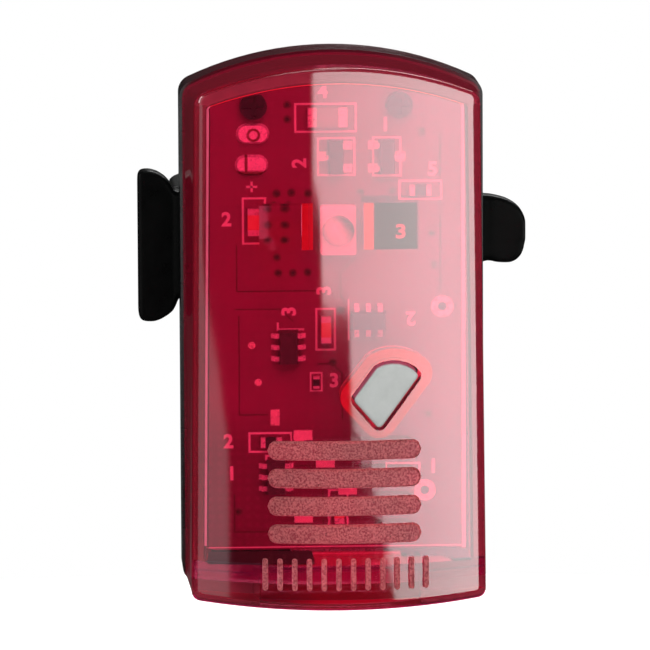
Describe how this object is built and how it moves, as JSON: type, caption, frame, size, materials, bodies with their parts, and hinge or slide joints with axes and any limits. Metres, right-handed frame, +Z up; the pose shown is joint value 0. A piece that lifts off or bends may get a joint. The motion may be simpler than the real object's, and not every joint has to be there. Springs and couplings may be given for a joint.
{
  "type": "bicycle tail light",
  "caption": "Seat-post tail light: clear red arched lens over a circuit board, black rear case, silicone strap with a pull tab, push button, covered charging socket.",
  "frame": {"origin": "on the seat post's axis, halfway up the strap", "axes": "+Z up along the seat post, -Y the way the light shines, +X to the right seen from behind the bicycle"},
  "size_m": [0.0324, 0.0453, 0.0452],
  "materials": {
    "clear_red": "clear red moulded plastic, glossy",
    "black_plastic": "fine-grained black plastic",
    "black_rubber": "soft black rubber",
    "black_silicone": "smooth matt silicone",
    "red_silicone": "thin translucent red silicone",
    "board": "dark red solder-masked circuit board",
    "dark_steel": "blackened steel",
    "led_package": "white moulded package",
    "led_dome": "clear dome",
    "chip_black": "black moulding compound",
    "tin": "tinned metal",
    "capacitor_tan": "tan ceramic",
    "solder": "reflowed solder",
    "grey_button": "light grey satin plastic",
    "plunger": "ivory plastic",
    "gold": "gold-plated contacts",
    "foam": "closed-cell foam",
    "foil": "foil pouch",
    "red_wire": "wire insulation"
  },
  "bodies": {
    "body": {"lens_cover": "clear_red", "rear_case": "black_plastic", "case_seal": "black_rubber", "saddle_pad": "black_rubber", "strap_band": "black_silicone", "circuit_board": "board", "board_screws": "dark_steel", "led_package": "led_package", "led_dome": "led_dome", "indicator_leds": "led_package", "resistors": "chip_black", "resistor_caps": "tin", "capacitors": "capacitor_tan", "capacitor_caps": "tin", "transistors": "chip_black", "transistor_legs": "tin", "control_chips": "chip_black", "control_chip_pins": "tin", "solder_joints": "solder", "button_seal": "red_silicone", "switch_body": "chip_black", "switch_frame": "tin", "usb_shell": "tin", "usb_tongue": "chip_black", "usb_contacts": "gold", "port_cover_root": "black_rubber", "battery_pad": "foam", "battery_cell": "foil", "battery_leads": "red_wire"},
    "button": {"power_button": "grey_button"},
    "plunger": {"switch_plunger": "plunger"},
    "flap": {"port_cover": "black_rubber"},
    "tail": {"strap_tail": "black_silicone"}
  },
  "joints": [
    {"name": "button_press", "type": "slide", "parent": "body", "child": "button", "axis": [0, 1, 0], "range_m": [0, 0.0004], "stiffness_N_per_m": 4000},
    {"name": "plunger_press", "type": "slide", "parent": "body", "child": "plunger", "axis": [0, 1, 0], "range_m": [0, 0.0004]},
    {"name": "port_cover_swing", "type": "hinge", "parent": "body", "child": "flap", "pos_m": [0.0002, -0.0176, -0.02735], "axis": [1, 0, 0], "range_deg": [0, 100]},
    {"name": "strap_open", "type": "hinge", "parent": "body", "child": "tail", "pos_m": [0.01039, 0.006, 0], "axis": [0, 0, 1], "range_deg": [0, 90]}
  ],
  "couplings": [
    {"joint": "plunger_press", "follows": "button_press", "ratio": 1}
  ]
}
